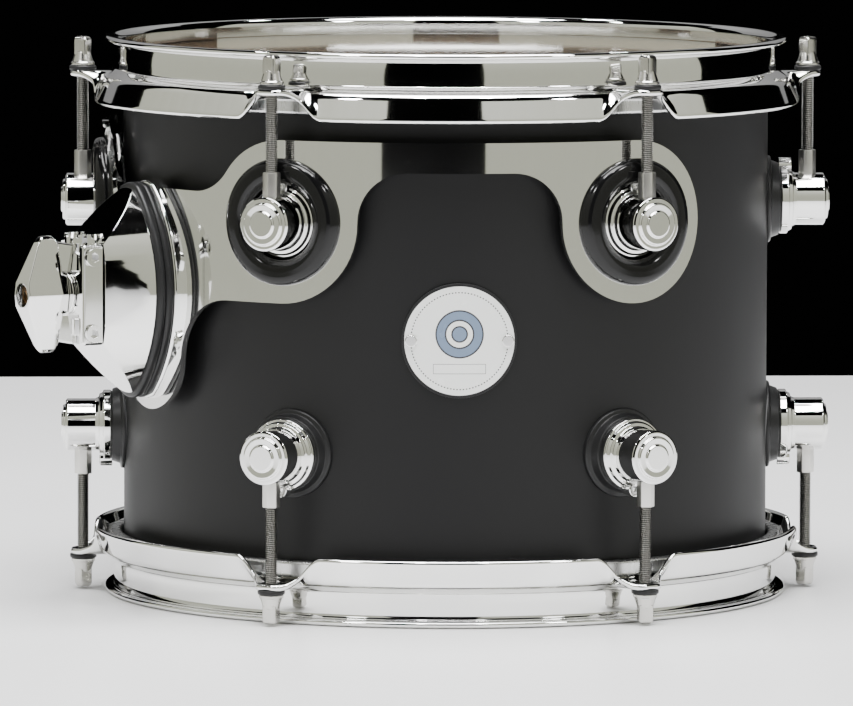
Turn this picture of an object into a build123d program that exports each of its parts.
"""Rack tom: a 10 x 8 in drum on a rubber-isolated suspension bracket.

Origin on the drum's axis, in the plane of the resonant rim it stands on.  +Z is up, the badge
faces -Y, and the bracket's clamp faces 60 degrees to the left of the badge.  Millimetres.
"""
import os
from math import cos, radians, sin

from build123d import *

os.makedirs("parts", exist_ok=True)

# ------------------------------------------------------------------ driving dimensions
HEIGHT = 217.5  # rim to rim
SHELL_R = 126.0
SHELL_WALL = 6.0
SHELL_LENGTH = 203.2
SHELL_BASE = (HEIGHT - SHELL_LENGTH) / 2
MIDDLE = HEIGHT / 2
ROD_R = 142.0  # circle that the tension rods stand on
ROD_AZIMUTHS = (-150, -90, -30, 30, 90, 150)

# hoops: depths are below the rim
HOOP_STEEL = 2.3
WALL_R = 129.9
LIP_R = 133.7
APRON_R = 138.6
SHOULDER_DEPTH = 13.6
EAR_DEPTH = 13.7
APRON_DEPTH = 25.8
EAR_HALF = 6.6
EAR_FOOT_HALF = 13.9
EAR_TIP_R = 147.0

# heads
FILM = 0.4
FLESH_IN, FLESH_OUT = 126.85, 131.4
FLESH_TOP, FLESH_FOOT = 17.6, 23.8  # depths below the rim

# lugs: heights off the shell
LUG_INSET = 64.4  # from each rim
GASKET_TOP = 4.6
LUG_SEAT_TOP = 9.6
BARREL_R = 10.25
BARREL_TOP = 22.8
ROD_OFF = ROD_R - SHELL_R
SLEEVE_OUT = 19.3  # how far the threaded sleeve stands out of the lug's axis
SLEEVE_ACROSS = 6.0
BOSS_OFFSET = 13.2

# tension rods
THREAD_R = 2.4
RUNNING = 0.05
WASHER_T = 1.7
FLANGE_T = 1.5
COLLAR_T = 3.9
KEY_SQUARE = 5.5
KEY_HEIGHT = 6.0

# suspension bracket, a plate bent concentric with the shell
PLATE_OUT = 134.4
PLATE_T = 2.5
RING_R = 31.0
RING_Z = HEIGHT - LUG_INSET
RING_AZIMUTHS = (-150, -90, -30, 30)
GROMMET_HOLE = 22.0
GROMMET_R = 24.3

# clamp for a half-inch arm
CLAMP_AZ = -60
CLAMP_Z = 123.5
PAD_TOP = 137.0
GASKET_T = 3.5
HOUSING_FOOT = PAD_TOP + 2 * GASKET_T
HOUSING_RIM = 3.0
SPLIT = 163.1  # the arm's axis, between housing and clamp plate
SPLIT_GAP = 1.0
ARM_R = 6.4
BUSH_R = 8.0
PLATE_FACE = 172.0
CLAMP_HALF_W, CLAMP_HALF_H = 14.0, 19.2
STUD_R = 4.0
STUD_END = 184.0
EYE_HALF = 4.0
EYE_WALL = 2.4
LOOSE = 1.25  # travel of the eye bolt for one turn of the wing nut
WING_TOP = 191.0
WING_HALF = 22.3

BADGE_R = 20.7
BADGE_BACK_R = 21.85

UP = (Align.CENTER, Align.CENTER, Align.MIN)
DOWN = (Align.CENTER, Align.CENTER, Align.MAX)


# ------------------------------------------------------------------ helpers
def radial_plane(azimuth, radius, height=0.0):
    """A plane facing straight out of the drum: its X runs round the shell and its Y goes up."""
    a = radians(azimuth)
    out = (sin(a), -cos(a), 0)
    return Plane(origin=(radius * out[0], radius * out[1], height), x_dir=(cos(a), sin(a), 0), z_dir=out)


def rod_plane(azimuth, height, facing):
    """A level plane on a rod's axis that faces up (+1) or down (-1)."""
    a = radians(azimuth)
    along = (cos(a), sin(a), 0)
    return Plane(origin=(ROD_R * sin(a), -ROD_R * cos(a), height), x_dir=along, z_dir=(0, 0, facing))


def turned(*steps, level=0.0, mode=Mode.ADD):
    """A turned shape on the workplane, from (foot radius, top radius, height) steps."""
    for foot, top, height in steps:
        with Locations((0, 0, level)):
            if foot == top:
                Cylinder(foot, height, align=UP, mode=mode)
            else:
                Cone(foot, top, height, align=UP, mode=mode)
        level += height


def clear_of_cylinder(radius):
    """Cut away what lies inside an upright cylinder on the drum's axis."""
    with BuildSketch(Plane.XY) as core:
        Circle(radius)
    extrude(core.sketch, amount=HEIGHT, mode=Mode.SUBTRACT)


def save(piece, name):
    piece.part.label = name
    export_step(piece.part, f"parts/{name}.step")


# ------------------------------------------------------------------ shell
with BuildPart() as shell:
    with BuildSketch(Plane.XZ):
        with BuildLine():
            inner = SHELL_R - SHELL_WALL
            top = SHELL_BASE + SHELL_LENGTH
            edge = SHELL_R - 1.2
            drop = edge - inner
            Polyline(
                (inner, SHELL_BASE + drop), (edge, SHELL_BASE), (SHELL_R, SHELL_BASE + 1.2),
                (SHELL_R, top - 1.2), (edge, top), (inner, top - drop), close=True,
            )
        make_face()
    revolve(axis=Axis.Z)
    for azimuth in ROD_AZIMUTHS:
        for height in (LUG_INSET, HEIGHT - LUG_INSET):
            with BuildSketch(radial_plane(azimuth, SHELL_R - 2 * SHELL_WALL, height)):
                Circle(3.1)
            extrude(amount=3 * SHELL_WALL, mode=Mode.SUBTRACT)
    with BuildSketch(radial_plane(180, SHELL_R - 2 * SHELL_WALL, MIDDLE)):
        Circle(5.0)
    extrude(amount=3 * SHELL_WALL, mode=Mode.SUBTRACT)
save(shell, "shell")

# ------------------------------------------------------------------ heads and flesh hoops
HEAD_TOP = SHELL_BASE + SHELL_LENGTH + FILM + 0.05
COLLAR_R = SHELL_R + 0.25
TUCK = 1.6  # how far the film turns out into the flesh hoop
TUCK_Z = HEIGHT - FLESH_FOOT + 2.0
with BuildPart() as batter_head:
    with BuildSketch(Plane.XZ):
        with BuildLine():
            Polyline(
                (0, HEAD_TOP), (SHELL_R - 0.7, HEAD_TOP), (COLLAR_R + FILM, HEAD_TOP - 1.6),
                (COLLAR_R + FILM, TUCK_Z + FILM), (COLLAR_R + TUCK, TUCK_Z + FILM), (COLLAR_R + TUCK, TUCK_Z),
                (COLLAR_R, TUCK_Z), (COLLAR_R, HEAD_TOP - 1.7), (SHELL_R - 0.85, HEAD_TOP - FILM),
                (0, HEAD_TOP - FILM), close=True,
            )
        make_face()
    revolve(axis=Axis.Z)
save(batter_head, "batter_head")

with BuildPart() as batter_flesh_hoop:
    with BuildSketch(Plane.XZ):
        with Locations(((FLESH_IN + FLESH_OUT) / 2, HEIGHT - (FLESH_TOP + FLESH_FOOT) / 2)):
            RectangleRounded(FLESH_OUT - FLESH_IN, FLESH_FOOT - FLESH_TOP, 1.2)
        with Locations((FLESH_IN, TUCK_Z + FILM / 2)):
            Rectangle(2.6, FILM + 0.2, mode=Mode.SUBTRACT)
    revolve(axis=Axis.Z)
save(batter_flesh_hoop, "batter_flesh_hoop")

# ------------------------------------------------------------------ flanged hoops
EAR_FOOT = APRON_DEPTH - 0.35
ear_slope = (EAR_FOOT_HALF - EAR_HALF) / (EAR_FOOT - EAR_DEPTH)
ear_skin = HOOP_STEEL * (1 + ear_slope**2) ** 0.5  # width of the sloping strip, measured level
EAR_UNDER = EAR_DEPTH + HOOP_STEEL
under_half = EAR_FOOT_HALF - ear_skin - (EAR_FOOT - EAR_UNDER) * ear_slope

with BuildPart() as batter_hoop:
    with BuildSketch(Plane.XZ):
        with BuildLine():
            inside = WALL_R - HOOP_STEEL
            rim = HEIGHT
            Polyline(
                (inside, rim), (LIP_R, rim), (LIP_R, rim - 2.5), (WALL_R, rim - 2.9),
                (WALL_R, rim - SHOULDER_DEPTH), (WALL_R + 4.3, rim - SHOULDER_DEPTH - 2.8),
                (APRON_R, rim - APRON_DEPTH), (APRON_R - 2.3, rim - APRON_DEPTH),
                (WALL_R + 2.4, rim - SHOULDER_DEPTH - 4.4), (inside, rim - SHOULDER_DEPTH - 1.7), close=True,
            )
        make_face()
        fillet(vertices().sort_by(Axis.Y)[-2:], 0.9)  # rounded rim
    revolve(axis=Axis.Z)
    for azimuth in ROD_AZIMUTHS:
        # the apron opens below each ear, and the ear's folded strip closes round the opening
        with BuildSketch(radial_plane(azimuth, WALL_R + 1.6, HEIGHT)):
            with BuildLine():
                mid_foot, mid_top = EAR_FOOT_HALF - 1.3, EAR_HALF - 0.7
                mid_depth = EAR_DEPTH + HOOP_STEEL / 2
                Polyline(
                    (-mid_foot, -APRON_DEPTH - 1), (-mid_foot, -APRON_DEPTH), (-mid_top, -mid_depth),
                    (mid_top, -mid_depth), (mid_foot, -APRON_DEPTH), (mid_foot, -APRON_DEPTH - 1),
                    close=True,
                )
            make_face()
        extrude(amount=20, mode=Mode.SUBTRACT)
    ears = []
    for azimuth in ROD_AZIMUTHS:
        with BuildPart(mode=Mode.PRIVATE) as ear:
            with BuildSketch(radial_plane(azimuth, WALL_R - 1.0, HEIGHT)):
                with BuildLine():
                    Polyline(
                        (-EAR_FOOT_HALF, -EAR_FOOT), (-EAR_HALF, -EAR_DEPTH), (EAR_HALF, -EAR_DEPTH),
                        (EAR_FOOT_HALF, -EAR_FOOT), (EAR_FOOT_HALF - ear_skin, -EAR_FOOT),
                        (under_half, -EAR_UNDER), (-under_half, -EAR_UNDER),
                        (ear_skin - EAR_FOOT_HALF, -EAR_FOOT), close=True,
                    )
                make_face()
            extrude(amount=20)
            with BuildSketch(Plane.XY):
                Circle(APRON_R - 0.45)
                with BuildSketch(Plane.XY.rotated((0, 0, azimuth)), mode=Mode.PRIVATE) as tongue:
                    with Locations((0, 6 - ROD_R)):
                        Trapezoid(2 * EAR_FOOT_HALF + 4, 20, 65, rotation=180)
                add(tongue.sketch)
                with Locations((ROD_R * sin(radians(azimuth)), -ROD_R * cos(radians(azimuth)))):
                    Circle(EAR_TIP_R - ROD_R)
            extrude(amount=HEIGHT, mode=Mode.INTERSECT)
            with BuildSketch(Plane.XY):
                Circle(EAR_TIP_R)
                Circle(WALL_R - 1.0, mode=Mode.SUBTRACT)
            extrude(amount=HEIGHT, mode=Mode.INTERSECT)
            with BuildSketch(rod_plane(azimuth, HEIGHT, -1)):
                Circle(3.2)
            extrude(amount=30, mode=Mode.SUBTRACT)
            with BuildSketch(Plane.XY.offset(HEIGHT - FLESH_TOP + 0.6)):  # room for the flesh hoop
                Circle(FLESH_OUT + 0.5)
            extrude(amount=-10, mode=Mode.SUBTRACT)
        ears.append(ear.part)
    add(ears)
save(batter_hoop, "batter_hoop")

# the resonant side mirrors the batter side
with BuildPart() as resonant_head:
    mirror(batter_head.part, about=Plane.XY.offset(MIDDLE))
save(resonant_head, "resonant_head")
with BuildPart() as resonant_flesh_hoop:
    mirror(batter_flesh_hoop.part, about=Plane.XY.offset(MIDDLE))
save(resonant_flesh_hoop, "resonant_flesh_hoop")
with BuildPart() as resonant_hoop:
    mirror(batter_hoop.part, about=Plane.XY.offset(MIDDLE))
save(resonant_hoop, "resonant_hoop")


# ------------------------------------------------------------------ lugs
def lug_casing(azimuth, height, facing):
    """Turned lug: a stepped seat, a barrel and a ringed face.  The rod's sleeve enters from facing."""
    with BuildPart(radial_plane(azimuth, SHELL_R, height)) as casing:
        turned(
            (13.0, 13.0, 0.6), (13.65, 13.65, LUG_SEAT_TOP - GASKET_TOP - 2.0), (13.65, 12.6, 0.8), (12.6, 11.4, 0.6),
            (BARREL_R, BARREL_R, BARREL_TOP - LUG_SEAT_TOP - 0.8), (BARREL_R, BARREL_R - 0.8, 0.8),
            (8.0, 7.7, 0.9), (4.9, 4.6, 0.9),
            level=GASKET_TOP,
        )
        with Locations((0, facing * BOSS_OFFSET, GASKET_TOP)):
            Cylinder(3.0, LUG_SEAT_TOP - GASKET_TOP, align=UP)
        with Locations((0, facing * BOSS_OFFSET, GASKET_TOP + 1)):
            Cylinder(2.05, LUG_SEAT_TOP, align=UP, mode=Mode.SUBTRACT)
        with Locations((0, 0, GASKET_TOP)):  # mounting screw's thread
            Cylinder(2.95, 6.0, align=UP, mode=Mode.SUBTRACT)
        with Locations((0, facing * 3.0, ROD_OFF)):  # blind bore for the sleeve
            Cylinder(3.6, 2 * BARREL_R, rotation=(90, 0, 0), mode=Mode.SUBTRACT)
    return casing


def sleeve(azimuth, height, facing):
    """Hex sleeve that the rod screws into."""
    with BuildPart(rod_plane(azimuth, height, facing)) as nut:
        with Locations((0, 0, -6.5)):
            Cylinder(3.5, 12.0, align=UP)
        with BuildSketch(rod_plane(azimuth, height, facing).offset(5.0)):
            RegularPolygon(SLEEVE_ACROSS / 2, 6, major_radius=False)
        extrude(amount=SLEEVE_OUT - 5.0)
        with Locations((0, 0, -4.0)):
            Cylinder(THREAD_R + RUNNING, SLEEVE_OUT + 10, align=UP, mode=Mode.SUBTRACT)
    return nut.part


def set_screw(azimuth, height, facing):
    with BuildPart(radial_plane(azimuth, SHELL_R, height)) as screw:
        with Locations((0, facing * BOSS_OFFSET, GASKET_TOP + 1.1)):
            Cylinder(2.0, 3.2, align=UP)
        with BuildSketch(radial_plane(azimuth, SHELL_R + GASKET_TOP + 4.3, height)):
            with Locations((0, facing * BOSS_OFFSET)):
                RegularPolygon(1.0, 6, major_radius=False)
        extrude(amount=-2.0, mode=Mode.SUBTRACT)
    return screw.part


def lug_gasket(azimuth, height):
    with BuildPart(radial_plane(azimuth, SHELL_R, height)) as gasket:
        turned((17.0, 17.0, 3.7), (15.0, 14.0, 3.1), level=GASKET_TOP - 6.8)
        with Locations((0, 0, -6)):
            Cylinder(3.2, 20, align=UP, mode=Mode.SUBTRACT)
        clear_of_cylinder(SHELL_R + 0.02)
    return gasket.part


def inner_face_plane(azimuth, height):
    return radial_plane(azimuth, SHELL_R - SHELL_WALL, height)


def lug_washer(azimuth, height):
    """Washer curved to the shell's inner face."""
    with BuildPart(inner_face_plane(azimuth, height)) as washer:
        with Locations((0, 0, -1.5)):
            Cylinder(7.5, 1.5 + 0.3, align=UP)
            Cylinder(3.15, 4, align=UP, mode=Mode.SUBTRACT)
        with BuildSketch(Plane.XY):
            Circle(SHELL_R - SHELL_WALL - 0.02)
        extrude(amount=HEIGHT, mode=Mode.INTERSECT)
    return washer.part


def lug_screw(azimuth, height):
    with BuildPart(inner_face_plane(azimuth, height)) as screw:
        with Locations((0, 0, -1.52)):
            Cylinder(5.0, 2.8, align=DOWN)
            Cylinder(2.85, SHELL_WALL + GASKET_TOP + 5.6 + 1.52, align=UP)
        fillet(screw.edges().filter_by(GeomType.CIRCLE).sort_by_distance(radial_plane(azimuth, 112, height).origin)[0], 1.0)
        with BuildSketch(inner_face_plane(azimuth, height).offset(-4.32)):
            Rectangle(6.0, 1.0)
            Rectangle(1.0, 6.0)
        extrude(amount=1.4, mode=Mode.SUBTRACT)
    return screw.part


def gather(name, pieces):
    """Identical small parts that share one node as separate solids."""
    group = Compound(children=pieces, label=name)
    export_step(group, f"parts/{name}.step")


SIDES = (("batter", HEIGHT - LUG_INSET, 1), ("resonant", LUG_INSET, -1))
for side, lug_z, facing in SIDES:
    for number, azimuth in enumerate(ROD_AZIMUTHS, 1):
        save(lug_casing(azimuth, lug_z, facing), f"{side}_lug_{number}")
    gather(f"{side}_sleeves", [sleeve(azimuth, lug_z, facing) for azimuth in ROD_AZIMUTHS])

STATIONS = [(azimuth, lug_z, facing) for _, lug_z, facing in SIDES for azimuth in ROD_AZIMUTHS]
gather("lug_gaskets", [lug_gasket(azimuth, lug_z) for azimuth, lug_z, _ in STATIONS])
gather("lug_washers", [lug_washer(azimuth, lug_z) for azimuth, lug_z, _ in STATIONS])
gather("lug_screws", [lug_screw(azimuth, lug_z) for azimuth, lug_z, _ in STATIONS])
gather("lug_set_screws", [set_screw(*station) for station in STATIONS])

# ------------------------------------------------------------------ tension rods and their washers
ROD_SEAT = HEIGHT - EAR_DEPTH + WASHER_T + RUNNING
for side, lug_z, facing in SIDES:
    seat_z = ROD_SEAT if facing > 0 else HEIGHT - ROD_SEAT
    reach = abs(seat_z - lug_z) + 3.5
    washers = []
    for number, azimuth in enumerate(ROD_AZIMUTHS, 1):
        seat = rod_plane(azimuth, seat_z, facing)
        with BuildPart(seat) as rod:
            turned((4.65, 4.65, FLANGE_T - 0.3), (4.65, 4.2, 0.3), (4.1, 3.0, COLLAR_T))
            with BuildSketch(seat.offset(FLANGE_T + COLLAR_T - 0.2)):
                RectangleRounded(KEY_SQUARE, KEY_SQUARE, 1.0)
            extrude(amount=KEY_HEIGHT + 0.2)
            chamfer(rod.faces().sort_by(Axis.Z)[-1 if facing > 0 else 0].edges(), 1.0)
            Cylinder(THREAD_R, reach, align=DOWN)
        save(rod, f"{side}_rod_{number}")
        with BuildPart(seat.offset(-RUNNING)) as washer:
            Cylinder(5.25, WASHER_T, align=DOWN)
            Cylinder(THREAD_R + 2 * RUNNING, 2 * WASHER_T, mode=Mode.SUBTRACT)
        washers.append(washer.part)
    gather(f"{side}_rod_washers", washers)

# ------------------------------------------------------------------ suspension bracket
RING_X = PLATE_OUT * sin(radians(30))
RING_FLAT_X = 69.8  # ring's middle as each span's flat outline draws it
BAND = 11.5
WEB_TOP, WEB_FOOT = 163.0, 121.6
LOBE_HALF, LOBE_FOOT = 20.5, 77.3


def lens(half_width, half_height, tip):
    """Pointed oval: two side arcs between short flat tips."""
    with BuildLine() as oval:
        ThreePointArc((tip, half_height), (half_width, 0), (tip, -half_height))
        Line((tip, -half_height), (-tip, -half_height))
        ThreePointArc((-tip, -half_height), (-half_width, 0), (-tip, half_height))
        Line((-tip, half_height), (tip, half_height))
    make_face(oval.edges())


def span_between_rings():
    with Locations((-RING_FLAT_X, RING_Z), (RING_FLAT_X, RING_Z)):
        Circle(RING_R)
    with Locations((0, RING_Z + RING_R - BAND / 2)):
        Rectangle(2 * RING_X, BAND)


def span_under_clamp():
    with Locations((-RING_FLAT_X, RING_Z), (RING_FLAT_X, RING_Z)):
        Circle(RING_R)
    with Locations((0, (WEB_TOP + WEB_FOOT) / 2)):
        Rectangle(2 * RING_X, WEB_TOP - WEB_FOOT)
    with Locations((0, (WEB_TOP + LOBE_FOOT + LOBE_HALF) / 2)):
        Rectangle(2 * LOBE_HALF, WEB_TOP - LOBE_FOOT - LOBE_HALF)
    with Locations((0, LOBE_FOOT + LOBE_HALF)):
        Circle(LOBE_HALF)


def rounded_span(outline, azimuth, hollow_r):
    """Prism through the drum whose hollow corners are rounded to hollow_r."""
    with BuildPart() as prism:
        with BuildSketch(radial_plane(azimuth, 100)):
            outline()
            offset(amount=hollow_r, kind=Kind.ARC)
            offset(amount=-hollow_r, kind=Kind.ARC)
            with Locations((0, MIDDLE)):
                Rectangle(2 * RING_X, HEIGHT, mode=Mode.INTERSECT)
        extrude(amount=50)
    return prism.part


spans = [
    rounded_span(span_between_rings, 0, 19),
    rounded_span(span_under_clamp, CLAMP_AZ, 13),
    rounded_span(span_between_rings, 2 * CLAMP_AZ, 19),
]
clamp_axis = radial_plane(CLAMP_AZ, 0, CLAMP_Z)

with BuildPart() as plate_band:  # the bent sheet before its outline is cut
    with BuildSketch(Plane.XY):
        Circle(PLATE_OUT)
        Circle(PLATE_OUT - PLATE_T, mode=Mode.SUBTRACT)
    extrude(amount=HEIGHT)

with BuildPart() as suspension_bracket:
    add(spans)
    for azimuth in RING_AZIMUTHS:
        with BuildSketch(radial_plane(azimuth, 100, RING_Z)):
            Circle(RING_R)
        extrude(amount=50)
    add(plate_band.part, mode=Mode.INTERSECT)
    with BuildSketch(clamp_axis.offset(PAD_TOP)):  # pad under the clamp
        lens(23.6, 40.5, 6.0)
    extrude(amount=-9)
    clear_of_cylinder(PLATE_OUT - PLATE_T)
    for azimuth in RING_AZIMUTHS:
        with BuildSketch(radial_plane(azimuth, 100, RING_Z)):
            Circle(GROMMET_HOLE)
        extrude(amount=50, mode=Mode.SUBTRACT)
    with BuildSketch(clamp_axis.offset(100)):
        with Locations((0, -18), (0, 18)):
            Circle(2.8)
    extrude(amount=50, mode=Mode.SUBTRACT)
save(suspension_bracket, "suspension_bracket")

for number, azimuth in enumerate(RING_AZIMUTHS, 1):
    with BuildPart(radial_plane(azimuth, SHELL_R, RING_Z)) as neck:
        with Locations((0, 0, -2)):
            Cylinder(GROMMET_HOLE - 0.05, 30, align=UP)
    with BuildPart() as slot:  # groove for the edge of the ring
        with BuildSketch(Plane.XY):
            Circle(PLATE_OUT + 0.05)
            Circle(PLATE_OUT - PLATE_T - 0.05, mode=Mode.SUBTRACT)
        extrude(amount=HEIGHT)
        add(neck.part, mode=Mode.SUBTRACT)
    with BuildPart(radial_plane(azimuth, SHELL_R, RING_Z)) as grommet:
        turned((21.5, GROMMET_R, 2.0), (GROMMET_R, GROMMET_R, 4.4), (GROMMET_R, 22.8, 1.5),
               (22.8, 19.4, 1.5), (19.4, 16.6, 0.4), level=2.6)
        turned((14.9, 14.9, 2.2), (14.1, 14.1, 9.0), level=2.4, mode=Mode.SUBTRACT)
        with Locations((0, BOSS_OFFSET, 4.5)):  # relief for the lug's screw boss
            Cylinder(3.3, 10, align=UP, mode=Mode.SUBTRACT)
    with BuildPart() as grooved:
        add(grommet.part)
        add(slot.part, mode=Mode.SUBTRACT)
    save(grooved, f"isolation_grommet_{number}")

# ------------------------------------------------------------------ arm clamp on the bracket
MOUNT_SCREWS = ((0, -18), (0, 18))
for name, level in (("clamp_gasket_inner", PAD_TOP), ("clamp_gasket_outer", PAD_TOP + GASKET_T)):
    with BuildPart() as gasket:
        with BuildSketch(clamp_axis.offset(level + 0.02)):
            lens(23.0, 40.0, 6.0)
            with Locations(*MOUNT_SCREWS):
                Circle(2.8, mode=Mode.SUBTRACT)
        extrude(amount=GASKET_T - 0.04)
        fillet(gasket.edges().group_by(SortBy.LENGTH)[-1], 0.8)
    save(gasket, name)


def arm_bore(radius):
    with BuildSketch(Plane.XY.offset(CLAMP_Z - 60)) as bore:
        with Locations(tuple(clamp_axis.offset(SPLIT).origin)[:2]):
            Circle(radius)
    extrude(bore.sketch, amount=120, mode=Mode.SUBTRACT)


def eye_pocket(inner, outer, half_width):
    """Slot through the middle of the clamp that the eye bolt's head moves in."""
    with BuildSketch(clamp_axis.offset(inner)) as pocket:
        Rectangle(2 * half_width, 2 * (EYE_HALF + 0.4))
    extrude(pocket.sketch, amount=outer - inner, mode=Mode.SUBTRACT)


EYE_IN = SPLIT - ARM_R - 0.2 - EYE_WALL
EYE_HALF_W = ARM_R + 0.2 + EYE_WALL
with BuildPart() as clamp_housing:
    with BuildSketch(clamp_axis.offset(HOUSING_FOOT)):
        lens(22.4, 39.0, 4.5)
    extrude(amount=HOUSING_RIM)
    with BuildSketch(clamp_axis.offset(HOUSING_FOOT + HOUSING_RIM)):
        lens(22.0, 38.4, 3.0)
    with BuildSketch(clamp_axis.offset(SPLIT - SPLIT_GAP / 2)):
        Rectangle(2 * CLAMP_HALF_W, 2 * CLAMP_HALF_H)
    loft(ruled=True)
    arm_bore(BUSH_R)
    eye_pocket(EYE_IN - LOOSE - 0.4, SPLIT, EYE_HALF_W + 0.4)
    with BuildSketch(clamp_axis.offset(HOUSING_FOOT)):
        with Locations(*MOUNT_SCREWS):
            Circle(2.45)
    extrude(amount=7, mode=Mode.SUBTRACT)
save(clamp_housing, "clamp_housing")

PIN_V, PIN_U, PIN_R = 8.0, PLATE_FACE - 1.0, 2.9
PIN_INNER, PIN_CONE, PIN_HEX = 9.0, 7.0, 6.5
with BuildPart() as clamp_plate:
    with BuildSketch(clamp_axis.offset(SPLIT + SPLIT_GAP / 2)):
        RectangleRounded(2 * CLAMP_HALF_W, 2 * CLAMP_HALF_H, 1.5)
    extrude(amount=PLATE_FACE - SPLIT - SPLIT_GAP / 2)
    fillet(clamp_plate.faces().sort_by_distance(clamp_axis.offset(PLATE_FACE + 20).origin)[0].edges(), 1.2)
    arm_bore(BUSH_R)
    eye_pocket(SPLIT, PLATE_FACE + 1, EYE_HALF_W + 0.4)
    # grooves for the two lock studs
    with BuildPart(clamp_axis.offset(PIN_U), mode=Mode.PRIVATE) as grooves:
        with Locations((PIN_V, PIN_INNER + 9.95, 0), (PIN_V, -PIN_INNER - 9.95, 0)):
            Cylinder(PIN_R + 0.05, 20, rotation=(90, 0, 0))
    add(grooves.part, mode=Mode.SUBTRACT)
    # side pockets for the two cheek screws
    for height in (-14.5, 14.5):
        with BuildPart(clamp_axis.offset(SPLIT + 5), mode=Mode.PRIVATE) as pocket:
            with Locations((CLAMP_HALF_W, height, 0)):
                Cylinder(3.4, 6, rotation=(0, 90, 0))
        add(pocket.part, mode=Mode.SUBTRACT)
save(clamp_plate, "clamp_plate")

cheeks = []
for height in (-14.5, 14.5):
    with BuildPart(clamp_axis.offset(SPLIT + 5)) as cheek:
        with Locations((CLAMP_HALF_W - 2.95, height, 0)):
            Cylinder(3.3, 4.6, rotation=(0, 90, 0), align=UP)
    with BuildPart(mode=Mode.PRIVATE) as socket:
        side = Plane(origin=clamp_axis.offset(SPLIT + 5).origin, x_dir=(0, 0, 1), z_dir=clamp_axis.x_dir)
        with BuildSketch(side.offset(CLAMP_HALF_W + 1.7)):
            with Locations((height, 0)):
                RegularPolygon(1.7, 6, major_radius=False)
        extrude(amount=-2.4)
    with BuildPart() as screw:
        add(cheek.part)
        add(socket.part, mode=Mode.SUBTRACT)
    cheeks.append(screw.part)
gather("clamp_screws", cheeks)

level_pin = Plane(origin=clamp_axis.offset(PIN_U).origin, x_dir=clamp_axis.x_dir, z_dir=(0, 0, 1))
with BuildPart(level_pin) as upper_stud:
    with Locations((PIN_V, 0, PIN_INNER)):
        Cone(PIN_R, 1.9, PIN_CONE, align=UP)
with BuildPart() as lower_stud:
    with BuildSketch(level_pin.offset(-PIN_INNER)):
        with Locations((PIN_V, 0)):
            RegularPolygon(PIN_R, 6)
    extrude(amount=-PIN_HEX)
gather("clamp_lock_studs", [upper_stud.part, lower_stud.part])

BUSH_TOP = CLAMP_HALF_H + 3.4
halves = []
for side in (-1, 1):
    with BuildPart(Plane(origin=clamp_axis.offset(SPLIT).origin, x_dir=clamp_axis.z_dir, z_dir=(0, 0, 1))) as half:
        with Locations((0, 0, -CLAMP_HALF_H)):
            Cylinder(BUSH_R - 0.03, BUSH_TOP + CLAMP_HALF_H, align=UP)
            Cylinder(ARM_R, 60, align=UP, mode=Mode.SUBTRACT)
        with Locations((side * (0.35 - 10), 0, 0)):
            Box(20, 40, 80, mode=Mode.SUBTRACT)
        with Locations((0, 0, 0)):
            Box(40, 40, 2 * (EYE_HALF + 0.4), mode=Mode.SUBTRACT)
        with PolarLocations(7.2, 18):  # serrated top edge
            with Locations((0, 0, BUSH_TOP)):
                Box(3.0, 1.15, 2.4, mode=Mode.SUBTRACT)
    halves.append(half.part)
gather("arm_bushing", [solid for half in halves for solid in half.solids()])

with BuildPart() as eye_bolt:
    with BuildSketch(Plane.XY.offset(CLAMP_Z - EYE_HALF)):
        with BuildSketch(mode=Mode.PRIVATE) as eye:
            with BuildLine():
                half = EYE_HALF_W
                end = PLATE_FACE - 0.15
                Line((SPLIT, -half), (end, -half))
                Line((end, -half), (end, half))
                Line((end, half), (SPLIT, half))
                ThreePointArc((SPLIT, half), (EYE_IN, 0), (SPLIT, -half))
            make_face()
            with Locations((SPLIT + LOOSE / 2, 0)):
                SlotCenterToCenter(LOOSE, 2 * (ARM_R + 0.2), mode=Mode.SUBTRACT)
        add(eye.sketch.rotate(Axis.Z, CLAMP_AZ - 90))
    extrude(amount=2 * EYE_HALF)
    with BuildSketch(clamp_axis.offset(PLATE_FACE - 0.6)):
        Circle(STUD_R)
    extrude(amount=STUD_END - PLATE_FACE + 0.6)
save(eye_bolt, "eye_bolt")

NUT_WASHER = 1.3
with BuildPart(clamp_axis.offset(PLATE_FACE + 0.02)) as wing_washer:
    Cylinder(8.6, NUT_WASHER, align=UP)
    Cylinder(STUD_R + 0.3, 5, mode=Mode.SUBTRACT)
save(wing_washer, "wing_nut_washer")

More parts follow.
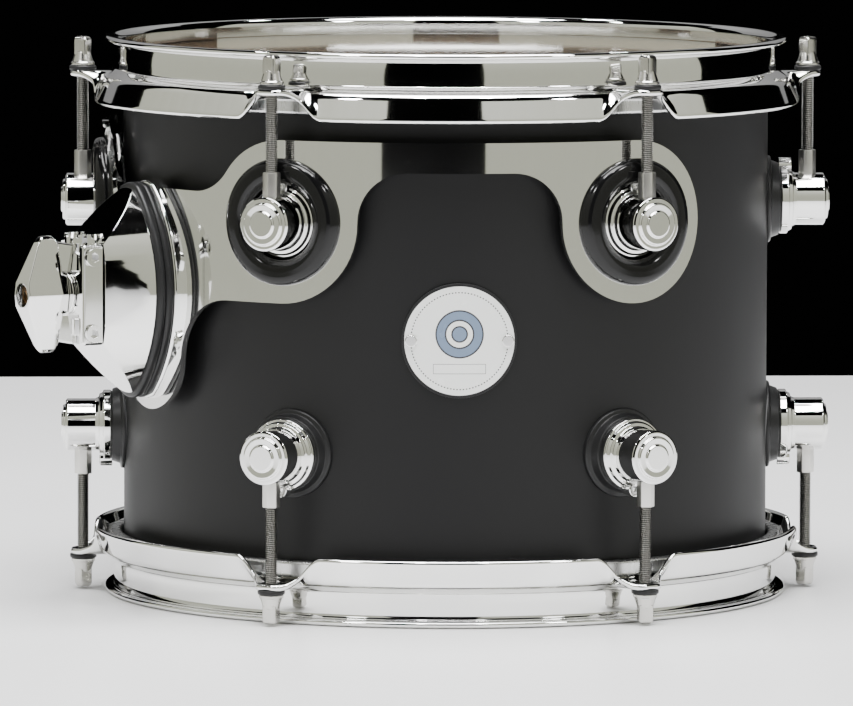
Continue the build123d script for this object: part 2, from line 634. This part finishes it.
NUT_FOOT = PLATE_FACE + NUT_WASHER + 0.1
upright = Plane(origin=(0, 0, CLAMP_Z), x_dir=clamp_axis.z_dir, z_dir=-clamp_axis.x_dir)
with BuildPart() as wing_nut:
    with BuildSketch(clamp_axis.offset(NUT_FOOT)):
        Circle(5.9)
        with Locations((0, WING_HALF - 2), (0, 2 - WING_HALF)):
            Circle(2.0)
        make_hull()
    extrude(amount=WING_TOP - NUT_FOOT)
    with BuildSketch(upright):
        with BuildLine():
            Polyline(
                (WING_TOP, 4.5), (184.8, 19.6), (183.0, WING_HALF), (178.0, WING_HALF), (176.2, 19.0),
                (175.4, 8.0), (NUT_FOOT, 7.0), (NUT_FOOT, -7.0), (175.4, -8.0), (176.2, -19.0),
                (178.0, -WING_HALF), (183.0, -WING_HALF), (184.8, -19.6), (WING_TOP, -4.5), close=True,
            )
        make_face()
    extrude(amount=20, both=True, mode=Mode.INTERSECT)
    with BuildSketch(clamp_axis.offset(NUT_FOOT - 1)):
        Circle(STUD_R + RUNNING)
    extrude(amount=30, mode=Mode.SUBTRACT)
save(wing_nut, "wing_nut")

screws = []
for across, height in MOUNT_SCREWS:
    with BuildPart(clamp_axis.offset(PLATE_OUT - PLATE_T)) as screw:
        with Locations((across, height, -0.1)):
            Cylinder(4.2, 2.1, align=DOWN)
            Cylinder(2.4, HOUSING_FOOT + 6.5 - PLATE_OUT + PLATE_T, align=UP)
    screws.append(screw.part)
gather("clamp_mount_screws", screws)


# ------------------------------------------------------------------ badge and vent
def on_shell(radius, inner, outer, azimuth=0, height=MIDDLE):
    """Disc wrapped on the shell between two radii."""
    with BuildSketch(radial_plane(azimuth, 100, height)) as disc:
        Circle(radius)
    extrude(disc.sketch, amount=60)
    with BuildSketch(Plane.XY) as layer:
        Circle(outer)
        Circle(inner, mode=Mode.SUBTRACT)
    extrude(layer.sketch, amount=HEIGHT, mode=Mode.INTERSECT)


BADGE_FOOT = SHELL_R + 0.02
with BuildPart() as badge_backing:
    on_shell(BADGE_BACK_R, BADGE_FOOT, BADGE_FOOT + 1.0)
save(badge_backing, "badge_backing")
with BuildPart() as badge:
    on_shell(BADGE_R, BADGE_FOOT + 1.02, BADGE_FOOT + 1.9)
save(badge, "badge")
screws = []
for across in (-18.4, 18.4):
    with BuildPart(radial_plane(0, BADGE_FOOT + 1.95, MIDDLE)) as screw:
        with Locations((across, 0, -3)):
            Cylinder(2.35, 2.7, align=UP)
        clear_of_cylinder(BADGE_FOOT + 1.92)
    screws.append(screw.part)
gather("badge_screws", screws)

with BuildPart(radial_plane(180, SHELL_R, MIDDLE)) as air_vent:
    turned((8.0, 8.0, 1.6), (8.0, 6.6, 0.9), level=-0.6)
    clear_of_cylinder(SHELL_R + 0.02)
    with Locations((0, 0, 1.0)):
        Cylinder(4.9, SHELL_WALL + 1.6, align=DOWN)
    with Locations((0, 0, 5)):
        Cylinder(3.6, 30, mode=Mode.SUBTRACT)
save(air_vent, "air_vent")
print("parts written:", len(os.listdir("parts")))
